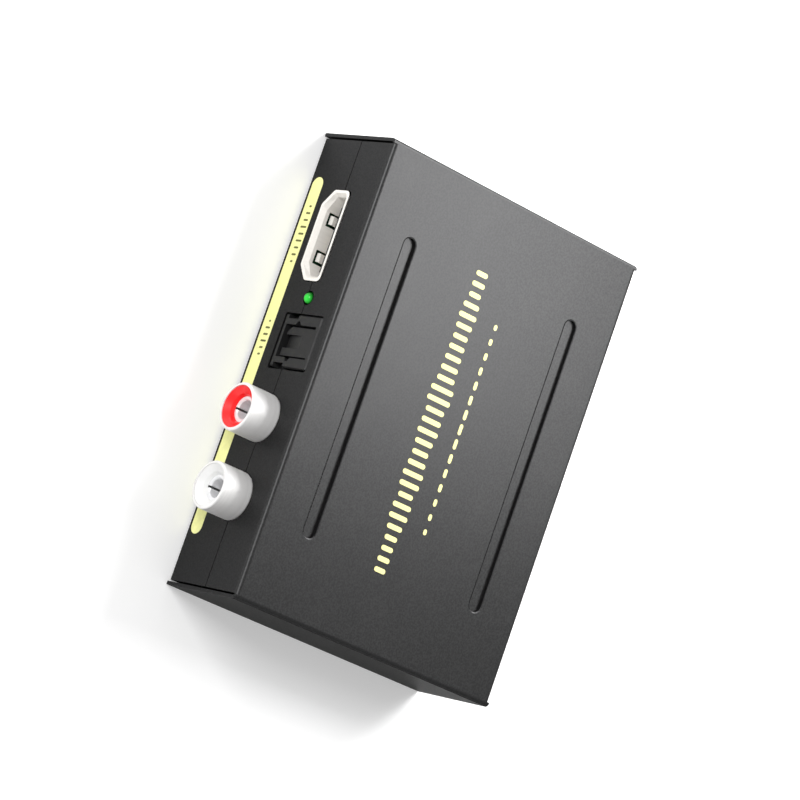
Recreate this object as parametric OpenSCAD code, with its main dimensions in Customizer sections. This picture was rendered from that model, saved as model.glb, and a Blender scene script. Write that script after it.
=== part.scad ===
// Audio extractor: a folded sheet-metal case round one circuit board. In front it has a
// digital video output, a status light, an optical output and two phono jacks. Behind, it has
// a digital video input, a mode switch and a power inlet.
// The origin is the centre of the base. X runs along the row of jacks and the front faces -Y.

/* [Case] */
// Width of the case, along the row of jacks
case_w = 80; // [76:1:100]
// Depth of the case over the edges of its side walls
case_d = 57.8; // [56:0.2:75]
// Room between the tallest jack and the top, which gives the case its height
lid_room = 2; // [1.6:0.1:8]
// Thickness of the folded sheet
sheet_t = 0.6; // [0.5:0.1:0.8]
// Outside radius of the folds
bend_r = 0.8; // [0.8:0.1:1.4]
// How far the side walls stand proud of the front and back panels
panel_recess = 0.1; // [0:0.1:1]
// Gap between a panel and the side wall beside it
corner_gap = 0.35; // [0.2:0.05:0.8]
// Height of the joint between the upper shell and the lower tray
seam_z = 10.3; // [9:0.1:11.5]
// Width of that joint
seam_gap = 0.15; // [0.1:0.05:0.6]

/* [Grooves in the top] */
// Length of each pressed groove
groove_l = 52.4; // [30:0.4:64]
// Width of each pressed groove
groove_w = 2.6; // [2:0.1:4]
// Depth of each pressed groove
groove_depth = 0.6; // [0.3:0.1:0.8]
// Distance of each groove from the middle of the top
groove_y = 19; // [14:0.5:22]

/* [Case screws] */
// Radius of the thread of the case screws and board screws
thread_r = 1.25; // [1:0.05:1.4]
// Length of a case screw over its head
case_screw_l = 4.4; // [4:0.1:5]
// Radius of the countersunk head
csk_head_r = 2.3; // [2.2:0.05:2.5]
// Distance from the side of the case to the axis of a case screw
case_screw_inset = 4.1; // [3.8:0.1:4.5]
// Distance of the case screws from the middle of the case, front to back
case_screw_y = 19; // [14:0.5:21]
// Width of the bracket that a case screw holds
bracket_w = 8; // [6:0.5:12]
// Height of the leg of the bracket that is welded to the side wall
bracket_h = 6; // [4:0.5:9]

/* [Board] */
// Thickness of the circuit board
board_t = 1.6; // [1:0.2:1.6]
// Height of the spacers under the board
standoff_h = 3.4; // [2.4:0.1:3.6]
// Distance between a spacer's flats
standoff_flats = 4.5; // [4:0.1:5]
// Distance from the side of the case to the board
board_inset = 7.5; // [7.2:0.1:7.8]

/* [Video ports] */
// Place of the output port along the front panel
port_out_x = -22.2; // [-23:0.05:-21.5]
// Place of the input port along the back panel
port_in_x = -12; // [-18:1:-6]
// Width over the flared rim of a port
port_w = 16; // [15.6:0.1:16.2]
// Height over the flared rim of a port
port_h = 6.4; // [6.2:0.1:7]
// Width of a port's mouth
mouth_w = 14; // [13.8:0.1:14.2]
// Height of a port's mouth
mouth_h = 4.6; // [4.4:0.1:4.8]
// Length of a port's shell
port_l = 11.5; // [10.5:0.1:12.5]

/* [Status light] */
// Place of the light along the front panel
led_x = -11.3; // [-12:0.05:-11]
// Height of the light above the board
led_lift = 5.1; // [4:0.1:6]
// Radius of the light's lens
led_r = 1; // [0.9:0.05:1.5]

/* [Optical output] */
// Place of the optical jack along the front panel
optical_x = -3.7; // [-4.2:0.05:-3.6]
// Width of the optical jack's housing
optical_w = 9.3; // [9:0.1:9.6]
// Height of the optical jack's housing
optical_h = 9.8; // [9.4:0.1:10.2]
// Length of the bay behind the optical jack's socket
bay_l = 2.6; // [2.2:0.1:4]
// Width of the optical jack's socket
socket_w = 5.7; // [5.4:0.1:6]
// Wall over and under the optical jack's socket
socket_wall = 0.85; // [0.8:0.05:1]
// Depth of the optical jack's socket
socket_l = 9.6; // [9:0.1:10]

/* [Phono jacks] */
// Place of the red jack along the front panel
phono_x = 9.85; // [9.4:0.1:10.4]
// Distance between the two jacks
phono_pitch = 13.6; // [13:0.1:14]
// Height of the jacks' axes above the board
phono_lift = 4.1; // [4:0.1:5]
// Outside radius of a barrel
barrel_r = 4.2; // [4:0.05:4.3]
// How far a barrel stands out of the front panel
barrel_reach = 5.7; // [4:0.1:8]
// Radius of the hole for the plug's pin
pin_hole_r = 1.65; // [1.6:0.05:1.7]

/* [Power inlet] */
// Place of the power inlet, seen from the front
inlet_x = 25.5; // [23:0.5:26]
// Radius of the inlet's bore
inlet_bore_r = 3.2; // [3:0.05:3.3]
// Depth of the inlet's bore
inlet_bore_l = 9.5; // [8.5:0.1:10]
// Radius of the inlet's centre pin
inlet_pin_r = 1.05; // [0.8:0.05:1.25]

/* [Mode switch] */
// Place of the mode switch, seen from the front
switch_x = 7; // [6:0.5:10]
// How far the knob slides to each side of its middle place
switch_travel = 2; // [1.5:0.1:2.2]
// Width of the knob
knob_w = 2.8; // [2.4:0.1:3.2]
// Height of the knob
knob_h = 1.8; // [1.5:0.1:2]
// How far the knob stands out of the back panel
knob_reach = 1.8; // [1:0.1:3]

/* [Hidden] */

$fn = 48;
overrun = 0.5;
quarter_turn = 90;
half_turn = 180;
arc_step = 15;

// Colours, as the object shows them
coat_black = [0.16, 0.16, 0.17];
plain_black = [0.07, 0.07, 0.08];
nickel = [0.80, 0.79, 0.75];
steel = [0.62, 0.63, 0.65];
brass = [0.78, 0.63, 0.30];
board_green = [0.10, 0.36, 0.20];
jack_red = [0.80, 0.08, 0.08];
jack_white = [0.92, 0.92, 0.90];
light_green = [0.25, 0.90, 0.25];
ceramic_tan = [0.55, 0.45, 0.35];

// Panels: distance of their outer face from the middle, and the same for their inner face
panel_y = case_d / 2 - panel_recess;
panel_in_y = panel_y - sheet_t;
wall_in_x = case_w / 2 - sheet_t;
flange_l = 2 * (wall_in_x - corner_gap);
// The relief beside a panel stops this far below the top
relief_skin = 0.5;

// Screw seats: the sheet is pressed up in a cone that takes the head, and the bracket lies on it
csk_gap = 0.05;
shank_gap = 0.1;
thread_gap = 0.03;
csk_lip = 0.15;
dimple_h = 1.5;
csk_mouth_r = csk_head_r + csk_lip + csk_gap;
seat_hole_r = thread_r + shank_gap;
dimple_top_r = csk_mouth_r + sheet_t * sqrt(2) - dimple_h;
dimple_foot_r = dimple_top_r + dimple_h - sheet_t;
bracket_margin = 2.7;
collar_wall = 0.75;
collar_h = 0.9;
screw_x = case_w / 2 - case_screw_inset;
bracket_in_x = screw_x - bracket_margin;

// Cross recess of the screws
cross_l = 2.4;
cross_w = 0.5;
cross_depth = 0.75;
cross_core_r = 0.55;

// Board and what carries it
board_bottom = sheet_t + standoff_h;
board_top = board_bottom + board_t;
board_end_gap = 0.4;
board_w = case_w - 2 * board_inset;
board_d = 2 * (panel_in_y - board_end_gap);
board_corner_r = 1;
board_hole_gap = 0.25;
spacer_inset = 3.5;
spacer_x = board_w / 2 - spacer_inset;
spacer_y_share = 0.185;
spacer_y = board_d * spacer_y_share;
board_screw_gap = 0.3;
spacer_screw_l = standoff_h + board_t - board_screw_gap;
pan_head_r = 2.2;
pan_head_h = 1.3;
pan_edge_h = 0.5;

// Video port, with its centre above the board
port_skin = 0.35;
port_lift = 0.7;
port_proud = 0.2;
rim_l = 0.8;
rim_wall = 0.45;
flare_edge = 0.05;
tube_w = mouth_w + 2 * port_skin;
tube_h = mouth_h + 2 * port_skin;
port_z = port_lift + tube_h / 2;
port_cut_gap = 0.15;
rim_cut = [2.6, 2.3];
tube_cut = [2.4, 1.7];
rim_corner_r = 0.9;
tube_corner_r = 0.4;
corner_steps = 4;
leg_w = 1.8;
leg_tail = 0.8;
leg_slot_gap = 0.2;
leg_y = [3, 9.4];
finger_x = 3.3;
finger_w = 1.5;
finger_side = 0.45;
finger_y = [1.3, 5.8];
finger_tip_gap = 0.5;
finger_dip = 0.4;
tongue_w = 11.4;
tongue_t = 2.2;
tongue_rise = 0.35;
tongue_y = 1.9;
port_block_l = 3.7;
tongue_nose = 0.3;
contact_pitch = 1;
contact_w = 0.45;
contact_t = 0.2;
contact_proud = 0.05;
contact_back = 0.5;
contact_top_tail = 1.2;
contact_low_tail = 0.5;
top_contacts = 10;
low_contacts = 9;

// Light
led_proud = 0.7;
led_body_l = 3.4;
led_rim_w = 0.5;
led_rim_r = led_r + led_rim_w;
led_rim_l = 0.9;
led_hole_gap = 0.25;
led_lead_t = 0.5;
led_lead_pitch = 1.6;
led_lead_l = 1.8;

// Optical jack
optical_lift = 0.75;
optical_cut_gap = 0.25;
optical_cut_shift = 0.12;
optical_chamfer = 0.25;
optical_face = 0.1;
optical_edge_r = 0.5;
foot_w = 1.2;
socket_h = optical_h - 2 * socket_wall;
key_rise = 4;
key_half = 0.7;
key_depth = 0.65;
slot_w = 0.8;
slot_h = 2.6;
slot_l = 1.6;
slot_rise = 0.9;
fibre_r = 1.3;
fibre_l = 1.2;
emitter_gap = 0.15;
optical_l = socket_l + fibre_l + bay_l;
emitter_wall = 0.9;
emitter_lens_r = 1.1;
emitter_lens_l = 0.8;
emitter_leads_n = 3;
emitter_lead_pitch = 2.2;
emitter_lead_t = 0.4;
emitter_lead_l = 1.2;
flap_t = 1.1;
flap_side_gap = 0.35;
flap_foot_gap = 0.55;
flap_back = 0.45;
flap_top_gap = 0.12;
flap_corner = 0.9;
flap_pocket_w = 2.3;
flap_pocket_h = 4.4;
flap_pocket_deep = 0.8;
trunnion_r = 0.4;
trunnion_l = 0.9;
trunnion_gap = 0.05;
hinge_back = 1;
roll_r = 0.55;
flap_skin = 0.45;
hinge_y = flap_back + hinge_back;
hinge_z = optical_lift + socket_wall + socket_h - flap_top_gap - roll_r;
flap_foot_z = optical_lift + socket_wall + flap_foot_gap;
spring_window_w = 1.7;
spring_axle_r = 0.26;
spring_wire_r = 0.07;
spring_r = 0.4;
spring_turns = 4;
spring_pitch = 0.3;
spring_leg = 2.2;
spring_sides = 6;
spring_steps = 18;

// Phono jacks: the barrel's shoulder sits on the block's face
phono_hole_gap = 0.15;
block_gap = 0.3;
block_l = 10;
block_side = 5.4;
block_over = 5;
block_edge_r = 0.6;
barrel_wall = 0.9;
barrel_mouth_wall = 0.5;
barrel_mouth_l = 2.2;
barrel_lip_r = 0.3;
barrel_neck = 0.35;
barrel_root_r = 3.65;
root_tail = 0.5;
signal_tail = 1.5;
lug_w = 1.8;
press_gap = 0.02;
insert_sink = 0.15;
insert_rim = 0.1;
funnel_l = 1.4;
funnel_step = 0.3;
contact_wall = 0.6;
contact_lead = 0.2;
slit_w = 0.4;
slit_l = 2.5;
pin_contact_sink = 0.05;
tail_w = 1.2;
tail_t = 0.4;

// Power inlet
inlet_w = 9;
inlet_h = 10.8;
inlet_l = 13.6;
inlet_axis_rise = 6.3;
inlet_nose_r = 3.9;
inlet_hole_gap = 0.2;
inlet_shoulder = 1.2;
inlet_pin_sink = 0.8;
inlet_pin_round = 0.4;
inlet_root_r = 1.45;
inlet_leaf_w = 2;
inlet_leaf_t = 0.3;
inlet_leaf_side = 0.2;
inlet_leaf_drop = 1.2;
inlet_leaf_y = [2.6, 8.4];

// The case is as high as the board, the tallest jack on it and the room over it
case_h = board_top + inlet_h + lid_room + sheet_t;

// Mode switch
cover_w = 11;
cover_h = 5;
cover_l = 5.4;
cover_t = 0.3;
switch_lift = 0.3;
switch_slot_gap = 0.25;
cover_leg_w = 1.2;
base_l = 1.6;
carriage_w = 4.4;
carriage_l = 3.2;
carriage_gap = 0.15;
knob_chamfer = 0.3;
knob_rib_depth = 0.25;
knob_rib_w = 0.35;
terminal_w = 0.5;
terminal_t = 0.3;
terminal_pitch = 2.5;
terminals = 4;
terminal_l = 0.9;
terminal_rise = 2.2;

// Parts on the board. Each place is a share of the board's width and depth.
video_chip_share = [-0.17, 0];
audio_chip_share = [0.12, -0.07];
regulator_share = [0.31, -0.02];
crystal_share = [-0.02, -0.2];
coil_share = [0.2, 0.14];
can_shares = [[0.3, 0.15], [0.22, -0.175], [0.33, -0.175], [0.09, 0.17]];
small_row_shares = [-0.33, 0.185, 0.036];
small_column_shares = [-0.34, -0.1, 0.042];
small_count = 6;
video_chip_w = 10;
audio_chip_w = 6.4;
audio_chip_d = 4.4;
chip_t = 1.1;
chip_lift = 0.1;
chip_edge = 0.25;
chip_lead_w = 0.3;
chip_lead_t = 0.18;
chip_lead_l = 1;
chip_foot_l = 0.5;
chip_lead_pitch = 0.8;
chip_mark_r = 0.45;
chip_mark_depth = 0.1;
reg_w = 6.4;
reg_d = 3.5;
reg_t = 1.6;
reg_lead_w = 0.8;
reg_lead_l = 1.5;
reg_lead_pitch = 2.3;
reg_tab_w = 3;
crystal_w = 11;
crystal_d = 4.6;
crystal_h = 3.4;
crystal_rim = 0.4;
coil_w = 5.2;
coil_h = 2.8;
coil_cap_t = 0.7;
coil_wind_r = 2.1;
can_r = 2.4;
can_h = 5.2;
can_base_t = 0.8;
can_edge_r = 0.4;
can_groove = 0.2;
can_groove_z = 1.6;
small_l = 1.6;
small_w = 0.8;
small_t = 0.5;

// Rounds every corner of an outline with an arc of radius r.
function unit(v) = v / norm(v);
function corner_arc(a, b, c, r) =
    let (u = unit(a - b), v = unit(c - b), half = acos(u * v) / 2)
    let (centre = b + unit(u + v) * r / sin(half))
    let (p = b + u * r / tan(half) - centre, q = b + v * r / tan(half) - centre)
    let (start = atan2(p.y, p.x), turn = atan2(p.x * q.y - p.y * q.x, p * q))
    [for (i = [0 : corner_steps])
        centre + r * [cos(start + turn * i / corner_steps), sin(start + turn * i / corner_steps)]];
function rounded(points, r) =
    let (n = len(points))
    [for (i = [0 : n - 1]) each corner_arc(points[(i + n - 1) % n], points[i], points[(i + 1) % n], r)];

// Outline of a video port: a rectangle w by h with its two lower corners cut by cut.
function port_points(w, h, cut) = [
    [-w / 2, h / 2], [-w / 2, cut.y - h / 2], [cut.x - w / 2, -h / 2],
    [w / 2 - cut.x, -h / 2], [w / 2, cut.y - h / 2], [w / 2, h / 2]
];

// Carries an outline drawn in X and Z along Y, or one drawn in Y and Z along X.
module along_y(y0, y1) {
    translate([0, y1, 0]) rotate([quarter_turn, 0, 0]) linear_extrude(y1 - y0) children();
}
module along_x(x0, x1) {
    translate([x0, 0, 0]) rotate([quarter_turn, 0, quarter_turn]) linear_extrude(x1 - x0) children();
}
// A box from its lowest corner to its highest.
module block(low, high) {
    translate(low) cube(high - low);
}
// Turns what is revolved about Z so that its axis runs along Y, into the case.
module inward() {
    rotate([-quarter_turn, 0, 0]) children();
}
// Turns what is revolved about Z so that its axis runs along X.
module sideways() {
    rotate([0, quarter_turn, 0]) children();
}
// Places on the front and back panels: at the panel's outer face and the board's top, with Y
// running into the case.
module at_front(x) {
    translate([x, -panel_y, board_top]) children();
}
module at_back(x) {
    translate([x, panel_y, board_top]) rotate(half_turn) children();
}
module each_case_screw() {
    for (sx = [-1, 1], sy = [-1, 1]) translate([sx * screw_x, sy * case_screw_y, 0]) children();
}
module each_spacer() {
    for (sx = [-1, 1], sy = [-1, 1]) translate([sx * spacer_x, sy * spacer_y, 0]) children();
}
// The solid below a sheet folded down at both sides: w wide and h high with rounded shoulders.
module tunnel(w, h, r) {
    translate([-w / 2, 0]) square([w, h - r]);
    translate([r - w / 2, 0]) square([w - 2 * r, h]);
    for (s = [-1, 1]) translate([s * (w / 2 - r), h - r]) circle(r);
}
module slot_shape(l, w) {
    square([l - w, w], center = true);
    for (s = [-1, 1]) translate([s * (l - w) / 2, 0]) circle(w / 2);
}
module rounded_rect(w, h, r) {
    square([w - 2 * r, h], center = true);
    square([w, h - 2 * r], center = true);
    for (sx = [-1, 1], sy = [-1, 1]) translate([sx * (w / 2 - r), sy * (h / 2 - r)]) circle(r);
}

// What is cut out of the front and back panels for the jacks.
module port_cut() {
    w = port_w + 2 * port_cut_gap;
    h = port_h + 2 * port_cut_gap;
    translate([0, 0, port_z]) along_y(-overrun, sheet_t + overrun)
        polygon(rounded(port_points(w, h, rim_cut), rim_corner_r));
}
module led_cut() {
    translate([0, -overrun, led_lift]) inward()
        cylinder(r = led_r + led_hole_gap, h = sheet_t + 2 * overrun);
}
module optical_cut() {
    translate([optical_cut_shift, 0, optical_lift + optical_h / 2 + optical_cut_shift])
        along_y(-overrun, sheet_t + overrun)
        rounded_rect(optical_w + 2 * optical_cut_gap, optical_h + 2 * optical_cut_gap, optical_edge_r);
}
module phono_cut() {
    translate([0, -overrun, phono_lift]) inward()
        cylinder(r = barrel_r + phono_hole_gap, h = sheet_t + 2 * overrun);
}
module inlet_cut() {
    translate([0, -overrun, inlet_axis_rise]) inward()
        cylinder(r = inlet_nose_r + inlet_hole_gap, h = sheet_t + 2 * overrun);
}
module switch_cut() {
    slot_w = knob_w + 2 * switch_travel + 2 * switch_slot_gap;
    translate([0, 0, switch_lift + cover_h / 2]) along_y(-overrun, sheet_t + overrun)
        square([slot_w, knob_h + 2 * switch_slot_gap], center = true);
}
module panel_cuts() {
    at_front(port_out_x) port_cut();
    at_front(led_x) led_cut();
    at_front(optical_x) optical_cut();
    for (i = [0, 1]) at_front(phono_x + i * phono_pitch) phono_cut();
    at_back(port_in_x) port_cut();
    at_back(inlet_x) inlet_cut();
    at_back(switch_x) switch_cut();
}

// Upper shell: top, side walls and the upper halves of the front and back panels, with the
// grooves pressed into the top.
module shell_walls() {
    difference() {
        along_y(-case_d / 2, case_d / 2) difference() {
            tunnel(case_w, case_h, bend_r);
            translate([0, -overrun])
                tunnel(case_w - 2 * sheet_t, case_h - sheet_t + overrun, bend_r - sheet_t);
        }
        for (s = [-1, 1]) scale([1, s, 1])
            block([bend_r - case_w / 2, panel_y - bend_r, -overrun],
                  [case_w / 2 - bend_r, case_d, case_h + overrun]);
    }
}
module shell_panels() {
    intersection() {
        along_x(-wall_in_x - sheet_t / 2, wall_in_x + sheet_t / 2) difference() {
            tunnel(2 * panel_y, case_h, bend_r);
            translate([0, -overrun]) tunnel(2 * panel_in_y, case_h - sheet_t + overrun, bend_r - sheet_t);
        }
        along_y(-case_d, case_d) tunnel(case_w, case_h, bend_r);
        block([-case_w, -case_d, seam_z + seam_gap / 2], [case_w, case_d, case_h + overrun]);
    }
}
module shell_reliefs() {
    for (sx = [-1, 1], sy = [-1, 1]) scale([sx, sy, 1])
        block([wall_in_x - corner_gap, panel_y - bend_r, -overrun],
              [wall_in_x, panel_y + overrun, case_h - relief_skin]);
}
module upper_shell() color(coat_black) {
    difference() {
        union() {
            difference() {
                union() {
                    shell_walls();
                    shell_panels();
                }
                shell_reliefs();
            }
            for (s = [-1, 1]) translate([0, s * groove_y, case_h - sheet_t - groove_depth])
                linear_extrude(groove_depth + sheet_t / 2)
                    slot_shape(groove_l + 2 * sheet_t, groove_w + 2 * sheet_t);
        }
        for (s = [-1, 1]) translate([0, s * groove_y, case_h - groove_depth])
            linear_extrude(groove_depth + overrun) slot_shape(groove_l, groove_w);
        panel_cuts();
    }
}
// Brackets: folded angles welded inside the side walls, each with a threaded collar.
module screw_bracket() {
    fold_x = wall_in_x - bend_r;
    fold_z = dimple_h + bend_r;
    difference() {
        union() {
            along_y(-bracket_w / 2, bracket_w / 2) {
                translate([bracket_in_x, dimple_h]) square([fold_x - bracket_in_x, sheet_t]);
                translate([wall_in_x - sheet_t, fold_z]) square([sheet_t, bracket_h - bend_r]);
                translate([fold_x, fold_z]) difference() {
                    circle(bend_r);
                    circle(bend_r - sheet_t);
                    translate([-bend_r, 0]) square(2 * bend_r);
                    translate([-2 * bend_r, -bend_r]) square(2 * bend_r);
                }
            }
            translate([screw_x, 0, dimple_h + sheet_t / 2])
                cylinder(r = thread_r + collar_wall, h = collar_h + sheet_t / 2);
        }
        translate([screw_x, 0, dimple_h - overrun])
            cylinder(r = thread_r + thread_gap, h = sheet_t + collar_h + 2 * overrun);
    }
}
module screw_brackets() color(steel) {
    for (sx = [0, 1], sy = [-1, 1]) translate([0, sy * case_screw_y, 0]) mirror([sx, 0, 0]) screw_bracket();
}

// Lower tray: base plate and the lower halves of the front and back panels, with a pressed
// seat for each case screw.
module screw_seat() {
    rotate_extrude() polygon([
        [csk_mouth_r, 0], [seat_hole_r, csk_mouth_r - seat_hole_r], [seat_hole_r, dimple_h],
        [dimple_top_r, dimple_h], [dimple_foot_r, sheet_t], [dimple_foot_r, 0]
    ]);
}
module lower_tray() color(coat_black) {
    tray_h = seam_z - seam_gap / 2;
    difference() {
        union() {
            difference() {
                along_x(-flange_l / 2, flange_l / 2) translate([0, tray_h]) mirror([0, 1]) difference() {
                    tunnel(2 * panel_y, tray_h, bend_r);
                    translate([0, -overrun])
                        tunnel(2 * panel_in_y, tray_h - sheet_t + overrun, bend_r - sheet_t);
                }
                each_case_screw() translate([0, 0, -overrun])
                    cylinder(r = dimple_foot_r - press_gap, h = dimple_h + overrun);
            }
            each_case_screw() screw_seat();
        }
        panel_cuts();
    }
}

// Screws: the recess in the head is a cross.
module cross_recess() {
    for (a = [0, quarter_turn]) rotate(a) translate([-cross_l / 2, -cross_w / 2, -overrun])
        cube([cross_l, cross_w, cross_depth + overrun]);
    translate([0, 0, -overrun]) cylinder(r = cross_core_r, h = cross_depth + overrun);
}
module case_screws() color(steel) {
    each_case_screw() difference() {
        rotate_extrude() polygon([
            [0, 0], [csk_head_r, 0], [csk_head_r, csk_lip], [thread_r, csk_lip + csk_head_r - thread_r],
            [thread_r, case_screw_l], [0, case_screw_l]
        ]);
        cross_recess();
    }
}
module board_screws() color(steel) {
    each_spacer() translate([0, 0, board_top]) difference() {
        union() {
            translate([0, 0, -spacer_screw_l]) cylinder(r = thread_r, h = spacer_screw_l + pan_edge_h);
            rotate_extrude() polygon([
                [0, 0], [pan_head_r, 0], [pan_head_r, pan_edge_h],
                for (a = [arc_step : arc_step : quarter_turn - arc_step]) [
                    pan_head_r * (1 + cos(a)) / 2,
                    pan_edge_h + (pan_head_h - pan_edge_h) * sin(a)
                ],
                [pan_head_r / 2, pan_head_h], [0, pan_head_h]
            ]);
        }
        translate([0, 0, pan_head_h]) mirror([0, 0, 1]) cross_recess();
    }
}
module board_spacers() color(brass) {
    hex_r = standoff_flats / sqrt(3);
    each_spacer() translate([0, 0, sheet_t]) difference() {
        cylinder(r = hex_r, h = standoff_h, $fn = 6);
        translate([0, 0, -overrun]) cylinder(r = thread_r + thread_gap, h = standoff_h + 2 * overrun);
    }
}

// Circuit board with its screw holes and the slots for the legs of shells and covers.
module leg_cut(w, l) {
    translate([0, 0, -board_t / 2])
        cube([w + 2 * leg_slot_gap, l + 2 * leg_slot_gap, board_t + 2 * overrun], center = true);
}
module port_leg_cuts() {
    for (sx = [-1, 1], y = leg_y) translate([sx * (tube_w - port_skin) / 2, y + leg_w / 2, 0])
        leg_cut(port_skin, leg_w);
}
module switch_leg_cuts() {
    for (sx = [-1, 1]) translate([sx * (cover_w - cover_t) / 2, cover_y + cover_l / 2, 0])
        leg_cut(cover_t, cover_leg_w);
}
module main_board() color(board_green) {
    difference() {
        translate([0, 0, board_bottom]) linear_extrude(board_t)
            rounded_rect(board_w, board_d, board_corner_r);
        each_spacer() translate([0, 0, board_bottom - overrun])
            cylinder(r = thread_r + board_hole_gap, h = board_t + 2 * overrun);
        at_front(port_out_x) port_leg_cuts();
        at_back(port_in_x) port_leg_cuts();
        at_back(switch_x) switch_leg_cuts();
    }
}

// Video port: a drawn shell with a flared rim, legs and spring fingers, an insulator with a
// tongue, and two rows of contacts on the tongue.
module tube_outline(wall) {
    polygon(rounded(port_points(mouth_w + 2 * wall, mouth_h + 2 * wall, tube_cut), tube_corner_r));
}
// The flare runs from the rim, drawn in by sink, to the tube with that wall over its mouth.
module port_flare(sink, wall, y0) {
    y1 = rim_l - port_proud;
    hull() {
        along_y(y0, y0 + flare_edge)
            polygon(rounded(port_points(port_w - 2 * sink, port_h - 2 * sink, rim_cut), rim_corner_r));
        along_y(y1 - flare_edge, y1) tube_outline(wall);
    }
}
module port_fingers() {
    root_y = finger_y[1] + overrun;
    tip_y = finger_y[0] + finger_tip_gap;
    for (sx = [-1, 1], up = [0, 1]) translate([sx * finger_x, 0, 0]) mirror([0, 0, up])
        along_x(-finger_w / 2, finger_w / 2) polygon([
            [root_y, -tube_h / 2], [root_y, -mouth_h / 2], [finger_y[1], -mouth_h / 2],
            [tip_y + finger_dip, finger_dip - mouth_h / 2], [tip_y, finger_dip / 2 - mouth_h / 2],
            [tip_y, finger_dip / 2 - tube_h / 2], [tip_y + finger_dip, finger_dip - tube_h / 2],
            [finger_y[1], -tube_h / 2]
        ]);
}
module port_windows() {
    for (sx = [-1, 1]) translate([sx * finger_x, 0, 0])
        block([-finger_w / 2 - finger_side, finger_y[0], -tube_h],
              [finger_w / 2 + finger_side, finger_y[1], tube_h]);
}
module port_shell() color(nickel) translate([0, 0, port_z]) {
    difference() {
        union() {
            port_flare(0, port_skin, -port_proud);
            along_y(rim_l - port_proud - flare_edge, port_l) tube_outline(port_skin);
            for (sx = [-1, 1], y = leg_y) scale([sx, 1, 1])
                block([mouth_w / 2, y, -port_z - board_t - leg_tail], [tube_w / 2, y + leg_w, 0]);
        }
        port_flare(rim_wall, 0, -port_proud - flare_edge);
        along_y(rim_l - port_proud - flare_edge, port_l + overrun) tube_outline(0);
        port_windows();
    }
    port_fingers();
}
// One contact: a flat strip on the tongue that turns down behind the insulator to the board.
// The tongue's face is at height z, and s is 1 for a strip on its top.
module port_contact(z, s, tail) {
    face = z + s * contact_proud;
    low = min(face, face - s * contact_t);
    back = port_l + tail;
    translate([-contact_w / 2, 0, 0]) {
        block([0, tongue_y + contact_back, low], [contact_w, back, low + contact_t]);
        block([0, back - contact_t, -port_z], [contact_w, back, low + contact_t]);
    }
}
module port_contacts() color(brass) translate([0, 0, port_z]) {
    for (i = [0 : top_contacts - 1]) translate([(i - (top_contacts - 1) / 2) * contact_pitch, 0, 0])
        port_contact(tongue_rise + tongue_t / 2, 1, contact_top_tail);
    for (i = [0 : low_contacts - 1]) translate([(i - (low_contacts - 1) / 2) * contact_pitch, 0, 0])
        port_contact(tongue_rise - tongue_t / 2, -1, contact_low_tail);
}
module port_insulator() color(plain_black) {
    difference() {
        translate([0, 0, port_z]) {
            along_y(port_l - port_block_l, port_l) tube_outline(0);
            along_x(-tongue_w / 2, tongue_w / 2) translate([0, tongue_rise]) polygon([
                [port_l - port_block_l + overrun, -tongue_t / 2], [tongue_y + tongue_nose, -tongue_t / 2],
                [tongue_y, tongue_nose - tongue_t / 2], [tongue_y, tongue_t / 2 - tongue_nose],
                [tongue_y + tongue_nose, tongue_t / 2], [port_l - port_block_l + overrun, tongue_t / 2]
            ]);
        }
        port_contacts();
    }
}
module video_out_shell() at_front(port_out_x) port_shell();
module video_out_insulator() at_front(port_out_x) port_insulator();
module video_out_contacts() at_front(port_out_x) port_contacts();
module video_in_shell() at_back(port_in_x) port_shell();
module video_in_insulator() at_back(port_in_x) port_insulator();
module video_in_contacts() at_back(port_in_x) port_contacts();

// Status light: a moulded lens with a rim, on two leads bent down to the board.
module light_lens() color(light_green) at_front(led_x) translate([0, led_r - led_proud, led_lift]) {
    sphere(led_r);
    inward() cylinder(r = led_r, h = led_body_l);
    translate([0, led_body_l, 0]) inward() cylinder(r = led_rim_r, h = led_rim_l);
}
module light_leads() color(steel) at_front(led_x) {
    root_y = led_r - led_proud + led_body_l + led_rim_l;
    back = root_y + led_lead_l;
    for (s = [-1, 1]) translate([s * led_lead_pitch / 2 - led_lead_t / 2, 0, 0]) {
        block([0, root_y, led_lift - led_lead_t / 2], [led_lead_t, back, led_lift + led_lead_t / 2]);
        block([0, back - led_lead_t, 0], [led_lead_t, back, led_lift + led_lead_t / 2]);
    }
}

// Optical jack: a moulded housing with a keyed socket, and a shutter that swings in.
module socket_outline() {
    z0 = optical_lift + socket_wall;
    key_z = optical_lift + key_rise;
    polygon([
        [-socket_w / 2, z0], [socket_w / 2, z0], [socket_w / 2, key_z - key_half],
        [socket_w / 2 + key_depth, key_z - key_half / 3], [socket_w / 2 + key_depth, key_z + key_half / 3],
        [socket_w / 2, key_z + key_half], [socket_w / 2, z0 + socket_h], [-socket_w / 2, z0 + socket_h],
        [-socket_w / 2, key_z + key_half], [-socket_w / 2 - key_depth, key_z + key_half / 3],
        [-socket_w / 2 - key_depth, key_z - key_half / 3], [-socket_w / 2, key_z - key_half]
    ]);
}
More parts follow.
